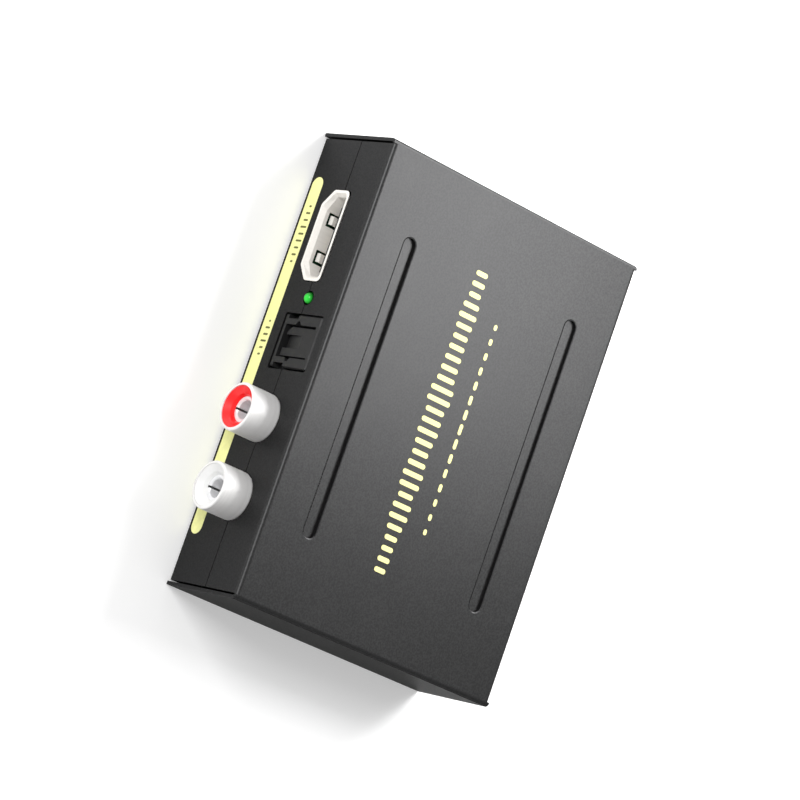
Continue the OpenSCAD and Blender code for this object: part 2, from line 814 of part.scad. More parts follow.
// What a chamfer takes off an edge of the housing's face, with the edge at height z.
module edge_cut(z) {
    polygon([
        [optical_face - overrun, z - optical_chamfer - overrun], [optical_face - overrun, z + overrun],
        [optical_face + optical_chamfer + overrun, z + overrun]
    ]);
}
module optical_housing() color(plain_black) at_front(optical_x) {
    mid_z = optical_lift + optical_h / 2;
    bay_w = optical_w - 2 * emitter_wall;
    difference() {
        union() {
            translate([0, 0, mid_z]) along_y(optical_face, optical_l)
                rounded_rect(optical_w, optical_h, optical_edge_r);
            for (sx = [-1, 1], y = [sheet_t + board_end_gap, optical_l - foot_w])
                translate([sx * (optical_w - foot_w) / 2 - foot_w / 2, y, 0])
                    cube([foot_w, foot_w, optical_lift + optical_edge_r]);
        }
        for (s = [-1, 1]) {
            translate([0, 0, mid_z]) scale([1, 1, s]) along_x(-optical_w, optical_w)
                edge_cut(optical_h / 2);
            translate([0, 0, mid_z]) scale([s, 1, 1]) rotate([0, quarter_turn, 0])
                along_x(-optical_h, optical_h) edge_cut(optical_w / 2);
        }
        along_y(-overrun, socket_l) socket_outline();
        for (sx = [-1, 1]) scale([sx, 1, 1])
            block([optical_w / 2 - slot_w, -overrun, optical_lift + slot_rise],
                  [optical_w / 2 + overrun, slot_l, optical_lift + slot_rise + slot_h]);
        translate([0, hinge_y, hinge_z]) sideways()
            cylinder(r = trunnion_r + trunnion_gap, h = socket_w + 2 * (trunnion_l + trunnion_gap),
                     center = true);
        translate([0, socket_l - overrun, optical_lift + key_rise]) inward()
            cylinder(r = fibre_r, h = fibre_l + 2 * overrun);
        block([-bay_w / 2, socket_l + fibre_l, optical_lift - overrun],
              [bay_w / 2, optical_l + overrun, optical_lift + optical_h - emitter_wall]);
    }
}
// Shutter: it turns on a roll behind its top edge. Its foot has one cut corner, and a ramp in
// its middle catches the plug.
module optical_shutter() color(plain_black) at_front(optical_x) {
    flap_w = socket_w - 2 * flap_side_gap;
    difference() {
        union() {
            along_y(flap_back, flap_back + flap_t) polygon([
                [flap_corner - flap_w / 2, flap_foot_z], [flap_w / 2, flap_foot_z],
                [flap_w / 2, hinge_z + roll_r], [-flap_w / 2, hinge_z + roll_r],
                [-flap_w / 2, flap_foot_z + flap_corner]
            ]);
            translate([0, hinge_y, hinge_z]) sideways() {
                cylinder(r = roll_r, h = flap_w, center = true);
                cylinder(r = trunnion_r, h = socket_w + 2 * trunnion_l, center = true);
            }
        }
        translate([0, flap_back, flap_foot_z]) along_x(-flap_pocket_w / 2, flap_pocket_w / 2) polygon([
            [-overrun, -overrun], [flap_pocket_deep, -overrun], [flap_pocket_deep, 0],
            [0, flap_pocket_h], [-overrun, flap_pocket_h]
        ]);
        block([-spring_window_w / 2, flap_back + flap_skin, hinge_z - flap_t],
              [spring_window_w / 2, hinge_y + flap_t, hinge_z + flap_t]);
    }
    translate([0, hinge_y, hinge_z]) sideways()
        cylinder(r = spring_axle_r, h = spring_window_w + 2 * press_gap, center = true);
}
// Spring of the shutter: a coil round the axle with one leg down the back of the shutter.
// Each ring of the tube is square to the direction of the wire.
function spring_coil(i) =
    let (a = 360 * i / spring_steps)
    [(i / spring_steps - spring_turns / 2) * spring_pitch, spring_r * cos(a), spring_r * sin(a)];
spring_points = [
    for (i = [0 : spring_turns * spring_steps]) spring_coil(i),
    [spring_turns * spring_pitch / 2 + spring_wire_r, spring_r, -spring_r],
    [spring_turns * spring_pitch / 2 + spring_wire_r, spring_r, -spring_leg]
];
function heading(p, i) = unit(p[min(i + 1, len(p) - 1)] - p[max(i - 1, 0)]);
function ring(centre, t, r, n) =
    let (a = unit(cross(t, [1, 0, 0])), b = cross(a, t))
    [for (k = [0 : n - 1]) centre + r * (cos(360 * k / n) * a + sin(360 * k / n) * b)];
module tube(p, r, n) {
    last = len(p) - 1;
    skin = [for (i = [0 : last]) each ring(p[i], heading(p, i), r, n)];
    sides = [
        for (i = [0 : last - 1], k = [0 : n - 1])
            each [
                [i * n + k, i * n + (k + 1) % n, (i + 1) * n + (k + 1) % n],
                [i * n + k, (i + 1) * n + (k + 1) % n, (i + 1) * n + k]
            ]
    ];
    ends = [[for (k = [n - 1 : -1 : 0]) k], [for (k = [0 : n - 1]) last * n + k]];
    polyhedron(skin, concat(sides, ends));
}
module shutter_spring() color(steel) at_front(optical_x) translate([0, hinge_y, hinge_z])
    tube(spring_points, spring_wire_r, spring_sides);
// Emitter: a moulded block in the bay behind the socket, with a lens in the fibre hole.
module optical_emitter() color(plain_black) at_front(optical_x) {
    bay_w = optical_w - 2 * emitter_wall;
    y0 = socket_l + fibre_l;
    top = optical_lift + optical_h - emitter_wall - emitter_gap;
    block([emitter_gap - bay_w / 2, y0, optical_lift],
          [bay_w / 2 - emitter_gap, optical_l - emitter_gap, top]);
    translate([0, y0, optical_lift + key_rise]) rotate([quarter_turn, 0, 0]) rotate_extrude() polygon([
        [0, 0], [emitter_lens_r, 0], [emitter_lens_r, emitter_lens_l / 2],
        [emitter_lens_r / 2, emitter_lens_l], [0, emitter_lens_l]
    ]);
}
module emitter_leads() color(steel) at_front(optical_x) {
    y0 = optical_l - emitter_gap;
    back = y0 + emitter_lead_l;
    z = optical_lift + key_rise;
    for (i = [0 : emitter_leads_n - 1])
        translate([(i - (emitter_leads_n - 1) / 2) * emitter_lead_pitch - emitter_lead_t / 2, 0, 0]) {
            block([0, y0, z - emitter_lead_t / 2], [emitter_lead_t, back, z + emitter_lead_t / 2]);
            block([0, back - emitter_lead_t, 0], [emitter_lead_t, back, z + emitter_lead_t / 2]);
        }
}

// Phono jacks: a moulded block that carries two turned barrels, each with a coloured insert
// and a slit tube contact.
block_y = sheet_t + block_gap;
block_back = block_y + block_l;
barrel_in_r = barrel_r - barrel_wall;
barrel_mouth_r = barrel_r - barrel_mouth_wall;
contact_r = pin_hole_r + contact_wall;
contact_front = insert_sink - barrel_reach + funnel_l + pin_contact_sink;
module phono_block() color(plain_black) at_front(phono_x) {
    top = phono_lift + block_over;
    difference() {
        along_y(block_y, block_back) translate([phono_pitch / 2, top / 2])
            rounded_rect(phono_pitch + 2 * block_side, top, block_edge_r);
        for (i = [0, 1]) translate([i * phono_pitch, block_y - overrun, phono_lift]) inward()
            cylinder(r = barrel_root_r + press_gap, h = block_l + 2 * overrun);
    }
}
module jack_barrel() color(nickel) translate([0, 0, phono_lift]) {
    lip = barrel_lip_r;
    inward() rotate_extrude() polygon([
        [barrel_in_r, barrel_mouth_l - barrel_reach], [barrel_mouth_r, barrel_mouth_l - barrel_reach],
        [barrel_mouth_r, -barrel_reach], [barrel_r - lip, -barrel_reach],
        for (a = [arc_step - quarter_turn : arc_step : 0])
            [barrel_r - lip + lip * cos(a), lip - barrel_reach + lip * sin(a)],
        [barrel_r, 0], [barrel_r - barrel_neck, barrel_neck], [barrel_r - barrel_neck, block_y],
        [barrel_root_r, block_y], [barrel_root_r, block_back + root_tail],
        [barrel_in_r, block_back + root_tail]
    ]);
    block([-lug_w / 2, block_back + press_gap, -phono_lift],
          [lug_w / 2, block_back + root_tail, -barrel_in_r - press_gap]);
}
module jack_insert(shade) color(shade) translate([0, 0, phono_lift]) {
    mouth = insert_sink - barrel_reach;
    rim_r = barrel_mouth_r - press_gap;
    throat_r = contact_r + press_gap;
    inward() rotate_extrude() polygon([
        [rim_r, mouth], [rim_r - insert_rim, mouth],
        [throat_r + funnel_step, mouth + funnel_l - 2 * funnel_step], [throat_r, mouth + funnel_l],
        [throat_r, block_back], [barrel_in_r - press_gap, block_back],
        [barrel_in_r - press_gap, barrel_mouth_l - barrel_reach - press_gap],
        [rim_r, barrel_mouth_l - barrel_reach - press_gap]
    ]);
}
module jack_contact() color(nickel) translate([0, 0, phono_lift]) {
    difference() {
        inward() rotate_extrude() polygon([
            [pin_hole_r + contact_lead, contact_front], [contact_r, contact_front],
            [contact_r, block_back + signal_tail], [0, block_back + signal_tail], [0, block_back],
            [pin_hole_r, block_back], [pin_hole_r, contact_front + contact_lead]
        ]);
        block([-slit_w / 2, contact_front - overrun, -2 * contact_r],
              [slit_w / 2, contact_front + slit_l, 2 * contact_r]);
    }
    block([-tail_w / 2, block_back + signal_tail - tail_t, -phono_lift],
          [tail_w / 2, block_back + signal_tail, 0]);
}
module red_jack_barrel() at_front(phono_x) jack_barrel();
module white_jack_barrel() at_front(phono_x + phono_pitch) jack_barrel();
module red_jack_insert() at_front(phono_x) jack_insert(jack_red);
module white_jack_insert() at_front(phono_x + phono_pitch) jack_insert(jack_white);
module red_jack_contact() at_front(phono_x) jack_contact();
module white_jack_contact() at_front(phono_x + phono_pitch) jack_contact();

// Power inlet: a moulded housing with a round nose, a centre pin and a sprung leaf.
inlet_y = sheet_t + block_gap;
inlet_floor_z = inlet_axis_rise - inlet_bore_r;
module inlet_housing() color(plain_black) at_back(inlet_x) {
    half_w = inlet_leaf_w / 2 + inlet_leaf_side;
    back = inlet_leaf_y[1] + inlet_leaf_t + inlet_leaf_side;
    difference() {
        union() {
            along_y(inlet_y, inlet_l) translate([0, inlet_h / 2])
                rounded_rect(inlet_w, inlet_h, block_edge_r);
            translate([0, 0, inlet_axis_rise]) inward() cylinder(r = inlet_nose_r, h = inlet_l / 2);
        }
        translate([0, -overrun, inlet_axis_rise]) inward()
            cylinder(r = inlet_bore_r, h = inlet_bore_l + overrun);
        translate([0, 0, inlet_axis_rise]) inward()
            cylinder(r = inlet_root_r + press_gap, h = inlet_l + overrun);
        block([-half_w, inlet_leaf_y[0], inlet_floor_z - inlet_leaf_drop],
              [half_w, back, inlet_axis_rise - inlet_pin_r - inlet_shoulder]);
        block([-half_w, back - inlet_leaf_t - 2 * inlet_leaf_side, -overrun],
              [half_w, back, inlet_floor_z]);
    }
}
module inlet_pin() color(nickel) at_back(inlet_x) translate([0, 0, inlet_axis_rise]) {
    inward() rotate_extrude() polygon([
        [0, inlet_pin_sink], [inlet_pin_r - inlet_pin_round, inlet_pin_sink],
        [inlet_pin_r, inlet_pin_sink + inlet_pin_round], [inlet_pin_r, inlet_bore_l],
        [inlet_root_r, inlet_bore_l], [inlet_root_r, inlet_l + tail_t], [0, inlet_l + tail_t]
    ]);
    block([-tail_w, inlet_l, -inlet_axis_rise], [tail_w, inlet_l + tail_t, 0]);
}
module inlet_spring() color(nickel) at_back(inlet_x) {
    tip_y = inlet_leaf_y[0] + inlet_leaf_side;
    back = inlet_leaf_y[1] + inlet_leaf_t;
    low = inlet_floor_z - inlet_leaf_drop + inlet_leaf_side;
    crest = inlet_floor_z - inlet_leaf_t;
    along_x(-inlet_leaf_w / 2, inlet_leaf_w / 2) polygon([
        [tip_y, low], [(tip_y + back) / 2, crest], [back - inlet_leaf_t, low], [back - inlet_leaf_t, 0],
        [back, 0], [back, low + inlet_leaf_t], [(tip_y + back) / 2, crest + inlet_leaf_t],
        [tip_y, low + inlet_leaf_t]
    ]);
}

// Mode switch: a folded cover, a base with terminals, and a slider with its knob.
cover_y = sheet_t + switch_slot_gap;
module switch_cover() color(steel) at_back(switch_x) translate([0, 0, switch_lift]) {
    slot_w = knob_w + 2 * switch_travel + 2 * switch_slot_gap;
    difference() {
        block([-cover_w / 2, cover_y, 0], [cover_w / 2, cover_y + cover_l, cover_h]);
        block([cover_t - cover_w / 2, cover_y + cover_t, cover_t],
              [cover_w / 2 - cover_t, cover_y + cover_l + overrun, cover_h - cover_t]);
        block([-slot_w / 2, cover_y - overrun, cover_h / 2 - knob_h / 2 - switch_slot_gap],
              [slot_w / 2, cover_y + overrun, cover_h / 2 + knob_h / 2 + switch_slot_gap]);
    }
    for (sx = [-1, 1]) scale([sx, 1, 1])
        translate([0, cover_y + cover_l / 2, -switch_lift])
            block([cover_w / 2 - cover_t, -cover_leg_w / 2, -board_t - leg_tail],
                  [cover_w / 2, cover_leg_w / 2, cover_h / 2]);
}
module switch_base() color(plain_black) at_back(switch_x) translate([0, 0, switch_lift])
    block([cover_t - cover_w / 2, cover_y + cover_l - base_l, cover_t],
          [cover_w / 2 - cover_t, cover_y + cover_l, cover_h - cover_t]);
module switch_slider() color(plain_black) at_back(switch_x) {
    half_h = cover_h / 2 - cover_t - carriage_gap;
    front = cover_y + cover_t + carriage_gap;
    translate([0, 0, switch_lift + cover_h / 2]) {
        block([-carriage_w / 2, front, -half_h], [carriage_w / 2, front + carriage_l, half_h]);
        difference() {
            along_x(-knob_w / 2, knob_w / 2) polygon([
                [front + carriage_gap, -knob_h / 2], [knob_chamfer - knob_reach, -knob_h / 2],
                [-knob_reach, knob_chamfer - knob_h / 2], [-knob_reach, knob_h / 2 - knob_chamfer],
                [knob_chamfer - knob_reach, knob_h / 2], [front + carriage_gap, knob_h / 2]
            ]);
            for (i = [-1 : 1]) translate([i * knob_w / 4, 0, 0])
                block([-knob_rib_w / 2, -knob_reach - overrun, -knob_h],
                      [knob_rib_w / 2, knob_rib_depth - knob_reach, knob_h]);
        }
    }
}
module switch_terminals() color(brass) at_back(switch_x) {
    y0 = cover_y + cover_l;
    z = switch_lift + terminal_rise;
    for (i = [0 : terminals - 1])
        translate([(i - (terminals - 1) / 2) * terminal_pitch - terminal_w / 2, 0, 0]) {
            block([0, y0, z - terminal_t / 2], [terminal_w, y0 + terminal_l, z + terminal_t / 2]);
            block([0, y0 + terminal_l - terminal_t, 0], [terminal_w, y0 + terminal_l, z + terminal_t / 2]);
        }
}

// Parts on the board
module on_board(share) {
    translate([share.x * board_w, share.y * board_d, board_top]) children();
}
module chip_lead() {
    rise = chip_lift + chip_t / 2;
    knee = chip_lead_l - chip_foot_l;
    along_x(-chip_lead_w / 2, chip_lead_w / 2) polygon([
        [-chip_edge, rise], [-chip_edge, rise - chip_lead_t], [knee - chip_lead_t, rise - chip_lead_t],
        [knee - chip_lead_t, 0], [chip_lead_l, 0], [chip_lead_l, chip_lead_t],
        [knee, chip_lead_t], [knee, rise]
    ]);
}
module chip_body(w, d) {
    difference() {
        translate([-w / 2, -d / 2, chip_lift]) cube([w, d, chip_t]);
        translate([chip_mark_r * 2 - w / 2, chip_mark_r * 2 - d / 2, chip_lift + chip_t - chip_mark_depth])
            cylinder(r = chip_mark_r, h = overrun);
    }
}
module lead_row(l, d) {
    n = floor((l - chip_lead_pitch) / chip_lead_pitch);
    for (i = [0 : n]) translate([(i - n / 2) * chip_lead_pitch, d / 2, 0]) chip_lead();
}
module video_chip() color(plain_black) on_board(video_chip_share) {
    chip_body(video_chip_w, video_chip_w);
    for (a = [0 : quarter_turn : 3 * quarter_turn]) rotate(a) lead_row(video_chip_w, video_chip_w);
}
module audio_chip() color(plain_black) on_board(audio_chip_share) {
    chip_body(audio_chip_w, audio_chip_d);
    for (a = [0, half_turn]) rotate(a) lead_row(audio_chip_w, audio_chip_d);
}
module regulator() color(plain_black) on_board(regulator_share) {
    translate([-reg_w / 2, -reg_d / 2, chip_lift]) cube([reg_w, reg_d, reg_t]);
    for (i = [-1 : 1]) translate([i * reg_lead_pitch - reg_lead_w / 2, -reg_d / 2 - reg_lead_l, 0])
        cube([reg_lead_w, reg_lead_l + chip_edge, chip_lift + chip_lead_t]);
    translate([-reg_tab_w / 2, reg_d / 2 - chip_edge, 0])
        cube([reg_tab_w, reg_lead_l + chip_edge, chip_lift + chip_lead_t]);
}
module crystal() color(nickel) on_board(crystal_share) {
    linear_extrude(crystal_rim) slot_shape(crystal_w, crystal_d);
    linear_extrude(crystal_h) slot_shape(crystal_w - 2 * crystal_rim, crystal_d - 2 * crystal_rim);
}
module coil() color(plain_black) on_board(coil_share) {
    for (z = [0, coil_h - coil_cap_t]) translate([0, 0, z]) linear_extrude(coil_cap_t)
        rounded_rect(coil_w, coil_w, board_corner_r);
    cylinder(r = coil_wind_r, h = coil_h - coil_cap_t / 2);
}
module capacitors() color(nickel) {
    for (share = can_shares) on_board(share) {
        linear_extrude(can_base_t) rounded_rect(2 * can_r, 2 * can_r, board_corner_r);
        wall = can_r - can_groove;
        rotate_extrude() polygon([
            [0, can_base_t / 2], [wall, can_base_t / 2], [wall, can_groove_z - can_groove],
            [wall - can_groove, can_groove_z], [wall, can_groove_z + can_groove],
            [wall, can_h - can_edge_r], [wall - can_edge_r, can_h], [0, can_h]
        ]);
    }
}
module small_part() {
    translate([-small_l / 2, -small_w / 2, 0]) cube([small_l, small_w, small_t]);
}
module small_parts() color(ceramic_tan) {
    for (i = [0 : small_count - 1]) {
        on_board([small_row_shares[0] + i * small_row_shares[2], small_row_shares[1]])
            rotate(quarter_turn) small_part();
        on_board([small_column_shares[0], small_column_shares[1] + i * small_column_shares[2]])
            small_part();
    }
}

upper_shell();
screw_brackets();
lower_tray();
case_screws();
board_spacers();
board_screws();
main_board();
video_out_shell();
video_out_insulator();
video_out_contacts();
video_in_shell();
video_in_insulator();
video_in_contacts();
light_lens();
light_leads();
optical_housing();
optical_shutter();
shutter_spring();
optical_emitter();
emitter_leads();
phono_block();
red_jack_barrel();
white_jack_barrel();
red_jack_insert();
white_jack_insert();
red_jack_contact();
white_jack_contact();
inlet_housing();
inlet_pin();
inlet_spring();
switch_cover();
switch_base();
switch_slider();
switch_terminals();
video_chip();
audio_chip();
regulator();
crystal();
coil();
capacitors();
small_parts();
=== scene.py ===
"""Looks of the audio extractor: the finishes of its case, jacks and inner parts, the strip and the
marks printed on it, the floor, the lights and the camera."""
import math

import bmesh
import bpy
import numpy as np
from mathutils import Matrix, Vector


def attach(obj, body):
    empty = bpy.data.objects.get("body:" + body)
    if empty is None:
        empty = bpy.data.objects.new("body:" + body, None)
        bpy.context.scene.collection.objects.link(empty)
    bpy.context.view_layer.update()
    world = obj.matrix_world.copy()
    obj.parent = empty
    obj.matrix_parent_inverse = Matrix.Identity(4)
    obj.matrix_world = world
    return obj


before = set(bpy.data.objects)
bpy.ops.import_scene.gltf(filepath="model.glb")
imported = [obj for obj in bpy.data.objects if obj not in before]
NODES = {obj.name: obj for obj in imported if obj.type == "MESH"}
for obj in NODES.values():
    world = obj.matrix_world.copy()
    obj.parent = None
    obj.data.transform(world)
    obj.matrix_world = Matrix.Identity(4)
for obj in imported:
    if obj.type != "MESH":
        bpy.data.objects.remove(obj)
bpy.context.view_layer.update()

MM = 0.001

# The case, its recessed front panel and the outside of its folds, in millimetres, as the CAD has them
CASE = np.array([80.0, 57.8, 19.0])
PANEL_Y = 28.8
BEND_R = 0.8

# The two grooves pressed into the top, in millimetres: how far the middles of their round ends and
# their middle lines lie from the case's middle, half their width, the width of their soft edge, and
# a height just under the sheet of the top
GROOVE_REACH = 24.9
GROOVE_Y = 19.0
GROOVE_HALF_WIDTH = 1.3
GROOVE_SOFT_EDGE = 0.22
UNDER_TOP_Z = 18.5

# Middle of the light's lens, and its bright chip, where its glow and its painted highlight are brightest
LIGHT_AXIS = (-11.3, 0.0, 10.7)
LIGHT_CHIP = (-11.05, -29.45, 11.0)

# Where the funnel of a jack's insert ends and its throat begins, which is where its painted shade starts
THROAT_Y = -32.8
THROAT_BLEND = 0.1

# Thickness of the print on the case, and of the marks over the strip, in millimetres
PRINT_THICK = 0.03
MARKS_THICK = 0.05

# Points of a print nearer than this are one point, in millimetres
MERGE = 0.0001

FLOAT, VECTOR = "NodeSocketFloat", "NodeSocketVector"


# Node helpers


class Net:
    """A node tree with short calls: each adds one node, links what is given and returns it."""

    def __init__(self, tree):
        self.tree = tree

    def add(self, kind, inputs=(), **settings):
        node = self.tree.nodes.new(kind)
        for key, value in settings.items():
            setattr(node, key, value)
        for key, value in dict(inputs).items():
            self.put(node.inputs[key], value)
        return node

    def put(self, socket, value):
        """Links a socket to another or sets its value; None leaves it as it is."""
        if isinstance(value, bpy.types.NodeSocket):
            self.tree.links.new(value, socket)
        elif value is not None:
            socket.default_value = value

    def here(self):
        """Place on the object, in metres."""
        return self.add("ShaderNodeTexCoord").outputs["Object"]

    def math(self, operation, a, b=None, clamp=False):
        return self.add("ShaderNodeMath", {0: a, 1: b}, operation=operation, use_clamp=clamp).outputs[0]

    def vector(self, operation, a, b=None):
        node = self.add("ShaderNodeVectorMath", {0: a, 1: b}, operation=operation)
        return node.outputs["Value" if operation == "LENGTH" else "Vector"]

    def split(self, vector):
        return self.add("ShaderNodeSeparateXYZ", {"Vector": vector}).outputs

    def join(self, x, y, z):
        return self.add("ShaderNodeCombineXYZ", {"X": x, "Y": y, "Z": z}).outputs[0]

    def noise(self, vector, scale, detail, roughness=0.5):
        sockets = {"Vector": vector, "Scale": scale, "Detail": detail, "Roughness": roughness}
        return self.add("ShaderNodeTexNoise", sockets).outputs["Fac"]

    def step(self, value, low, high, to_low=0.0, to_high=1.0):
        """Smooth ramp from to_low at low to to_high at high."""
        sockets = {"Value": value, "From Min": low, "From Max": high, "To Min": to_low, "To Max": to_high}
        return self.add("ShaderNodeMapRange", sockets, interpolation_type="SMOOTHSTEP").outputs[0]

    def mix(self, factor, a, b):
        sockets = {"Factor": factor, "A": rgba(a), "B": rgba(b)}
        return self.add("ShaderNodeMix", sockets, data_type="RGBA").outputs["Result"]


def rgba(value):
    """A colour socket as it is, or a colour in linear light with alpha 1."""
    return value if isinstance(value, bpy.types.NodeSocket) else (*value, 1.0)


def times(share, values):
    """A colour at a share of its light, or a place in millimetres turned to metres by MM."""
    return tuple(share * c for c in values)


# Effects that the finishes share


def effect(name, inputs, outputs):
    """Starts a shader node group; inputs and outputs name its sockets and give their kinds."""
    tree = bpy.data.node_groups.new(name, "ShaderNodeTree")
    for sockets, side in ((inputs, "INPUT"), (outputs, "OUTPUT")):
        for key, kind in sockets.items():
            tree.interface.new_socket(key, in_out=side, socket_type=kind)
    net = Net(tree)
    return net, net.add("NodeGroupInput").outputs, net.add("NodeGroupOutput").inputs


def place(net, group, **inputs):
    """Places an effect's group in a material and gives it that material's own values."""
    return net.add("ShaderNodeGroup", inputs, node_tree=group).outputs


def grain_effect():
    """Fine grain of a powder coat or a moulded skin: coarse and fine noise, as tone and height."""
    net, given, out = effect(
        "fine_grain", {"Cells": FLOAT, "Coarse": FLOAT}, {"Tone": FLOAT, "Height": FLOAT}
    )
    here = net.here()
    fine = net.noise(here, given["Cells"], 3.0, 0.6)
    coarse = net.noise(here, net.math("MULTIPLY", given["Cells"], given["Coarse"]), 2.0)
    both = net.math("ADD", net.math("MULTIPLY", fine, 0.6), net.math("MULTIPLY", coarse, 0.4))
    net.put(out["Tone"], net.step(coarse, 0.3, 0.7))
    net.put(out["Height"], both)
    return net.tree


def rub_effect():
    """Rubbed edges of a box: the second smallest of the distances to its faces, broken by noise."""
    sizes = {"Centre": VECTOR, "Half": VECTOR, "Width": FLOAT, "Cells": FLOAT}
    net, given, out = effect("rubbed_edges", sizes, {"Mask": FLOAT})
    here = net.here()
    away = net.vector("ABSOLUTE", net.vector("SUBTRACT", here, given["Centre"]))
    x, y, z = net.split(net.vector("SUBTRACT", given["Half"], away))
    low, high = net.math("MINIMUM", x, y), net.math("MAXIMUM", x, y)
    second = net.math("MAXIMUM", low, net.math("MINIMUM", high, z))
    broken = net.math("MULTIPLY", net.noise(here, given["Cells"], 4.0, 0.65), given["Width"])
    spent = net.math("DIVIDE", second, net.math("MULTIPLY", broken, 2.0))
    net.put(out["Mask"], net.math("SUBTRACT", 1.0, spent, clamp=True))
    return net.tree


def line_effect():
    """Lines left by turning or drawing: noise stretched along two axes of the piece."""
    net, given, out = effect(
        "drawn_lines", {"Stretch": VECTOR, "Cells": FLOAT}, {"Tone": FLOAT, "Height": FLOAT}
    )
    lines = net.noise(net.vector("MULTIPLY", net.here(), given["Stretch"]), given["Cells"], 2.0, 0.6)
    net.put(out["Tone"], net.step(lines, 0.35, 0.65))
    net.put(out["Height"], lines)
    return net.tree


def dust_effect():
    """Dust that settles on faces turned up: the normal's Z times a patchy noise."""
    net, given, out = effect("settled_dust", {"Amount": FLOAT, "Cells": FLOAT}, {"Mask": FLOAT})
    up = net.split(net.add("ShaderNodeNewGeometry").outputs["Normal"])["Z"]
    patches = net.step(net.noise(net.here(), given["Cells"], 6.0, 0.7), 0.45, 0.75)
    lying = net.math("MULTIPLY", net.math("MAXIMUM", up, 0.0), patches)
    net.put(out["Mask"], net.math("MULTIPLY", lying, given["Amount"]))
    return net.tree


def pressed_edge_effect():
    """Soft edge of two grooves pressed into a top: the height falls near the rim of each obround,
    whose distance is taken from its middle line. Under the height Foot the surface stays as it is."""
    sizes = {"Reach": FLOAT, "Across": FLOAT, "Rim": FLOAT, "Soft": FLOAT, "Foot": FLOAT}
    net, given, out = effect("pressed_edges", sizes, {"Height": FLOAT})
    x, y, z = net.split(net.here())
    along = net.math("MAXIMUM", net.math("SUBTRACT", net.math("ABSOLUTE", x), given["Reach"]), 0.0)
    across = net.math("SUBTRACT", net.math("ABSOLUTE", y), given["Across"])
    away = net.vector("LENGTH", net.join(along, across, 0.0))
    beyond = net.math("DIVIDE", net.math("SUBTRACT", away, given["Rim"]), given["Soft"])
    below = net.math("LESS_THAN", z, given["Foot"])
    net.put(out["Height"], net.math("MAXIMUM", net.step(beyond, 0.0, 1.0), below))
    return net.tree


GRAIN, RUB, LINES, DUST = grain_effect(), rub_effect(), line_effect(), dust_effect()
PRESSED = pressed_edge_effect()


# Finishes


def blank(name):
    """An empty material and the net of its nodes."""
    material = bpy.data.materials.new(name)
    material.use_nodes = True
    material.node_tree.nodes.clear()
    return material, Net(material.node_tree)


def finish(name, roughness, metallic=0.0, **sockets):
    """Starts a finish: returns its material, its net and its Principled shader's sockets."""
    material, net = blank(name)
    shader = net.add("ShaderNodeBsdfPrincipled", {"Roughness": roughness, "Metallic": metallic})
    for key, value in sockets.items():
        shader.inputs[key.replace("_", " ")].default_value = value
    net.add("ShaderNodeOutputMaterial", {"Surface": shader.outputs[0]})
    return material, net, shader.inputs


def bump(net, height, depth, over=None):
    """Normal of a surface raised by height times depth, in metres, over another such normal."""
    sockets = {"Height": height, "Distance": depth, "Strength": 1.0, "Normal": over}
    return net.add("ShaderNodeBump", sockets).outputs[0]


def vary(net, socket, mask, swing, base):
    """Feeds a socket with base plus the mask times a swing."""
    net.put(socket, net.math("ADD", net.math("MULTIPLY", mask, swing), base))


def powder_coat():
    """Black powder coat: fine grain, faint clouds, rubbed edges, a little dust and the soft edges of
    the pressed grooves."""
    material, net, shader = finish(
        "black_powder_coat", 0.5, metallic=0.85, Specular_Tint=(0.15, 0.15, 0.15, 1.0)
    )
    grain = place(net, GRAIN, Cells=5200.0, Coarse=0.6)
    middle = (0, 0, CASE[2] / 2 * MM)
    rub = place(net, RUB, Centre=middle, Half=tuple(CASE / 2 * MM), Width=0.2 * MM, Cells=1500.0)
    dust = place(net, DUST, Amount=0.03, Cells=90.0)
    tone = net.mix(grain["Tone"], (0.036, 0.036, 0.0365), (0.048, 0.048, 0.0485))
    worn = net.mix(net.math("MULTIPLY", rub["Mask"], 0.25), tone, (0.1, 0.1, 0.1))
    net.put(shader["Base Color"], net.mix(dust["Mask"], worn, (0.14, 0.138, 0.135)))
    vary(net, shader["Roughness"], grain["Tone"], 0.06, 0.36)
    edges = place(
        net, PRESSED, Reach=GROOVE_REACH * MM, Across=GROOVE_Y * MM, Rim=GROOVE_HALF_WIDTH * MM,
        Soft=GROOVE_SOFT_EDGE * MM, Foot=UNDER_TOP_Z * MM,
    )
    pressed = bump(net, edges["Height"], 0.1 * MM)
    net.put(shader["Normal"], bump(net, grain["Height"], 0.008 * MM, pressed))
    return material


def satin_nickel(name, stretch, colour=(0.86, 0.85, 0.84), roughness=0.47, metallic=0.34):
    """Satin nickel plate with the lines of turning or drawing."""
    material, net, shader = finish(name, roughness, metallic=metallic)
    lines = place(net, LINES, Stretch=stretch, Cells=2200.0)
    net.put(shader["Base Color"], net.mix(lines["Tone"], times(0.96, colour), colour))
    vary(net, shader["Roughness"], lines["Tone"], 0.08, roughness)
    net.put(shader["Normal"], bump(net, lines["Height"], 0.0015 * MM))
    return material


def moulded(name, colour, roughness, **sockets):
    """Moulded plastic: a faint skin grain, clouds in its tone and a little dust."""
    material, net, shader = finish(name, roughness, **sockets)
    grain = place(net, GRAIN, Cells=1800.0, Coarse=0.3)
    dust = place(net, DUST, Amount=0.04, Cells=220.0)
    tone = net.mix(grain["Tone"], times(0.94, colour), colour)
    net.put(shader["Base Color"], net.mix(dust["Mask"], tone, (0.35, 0.34, 0.32)))
    vary(net, shader["Roughness"], grain["Tone"], 0.08, roughness - 0.04)
    net.put(shader["Normal"], bump(net, grain["Height"], 0.008 * MM))
    return material


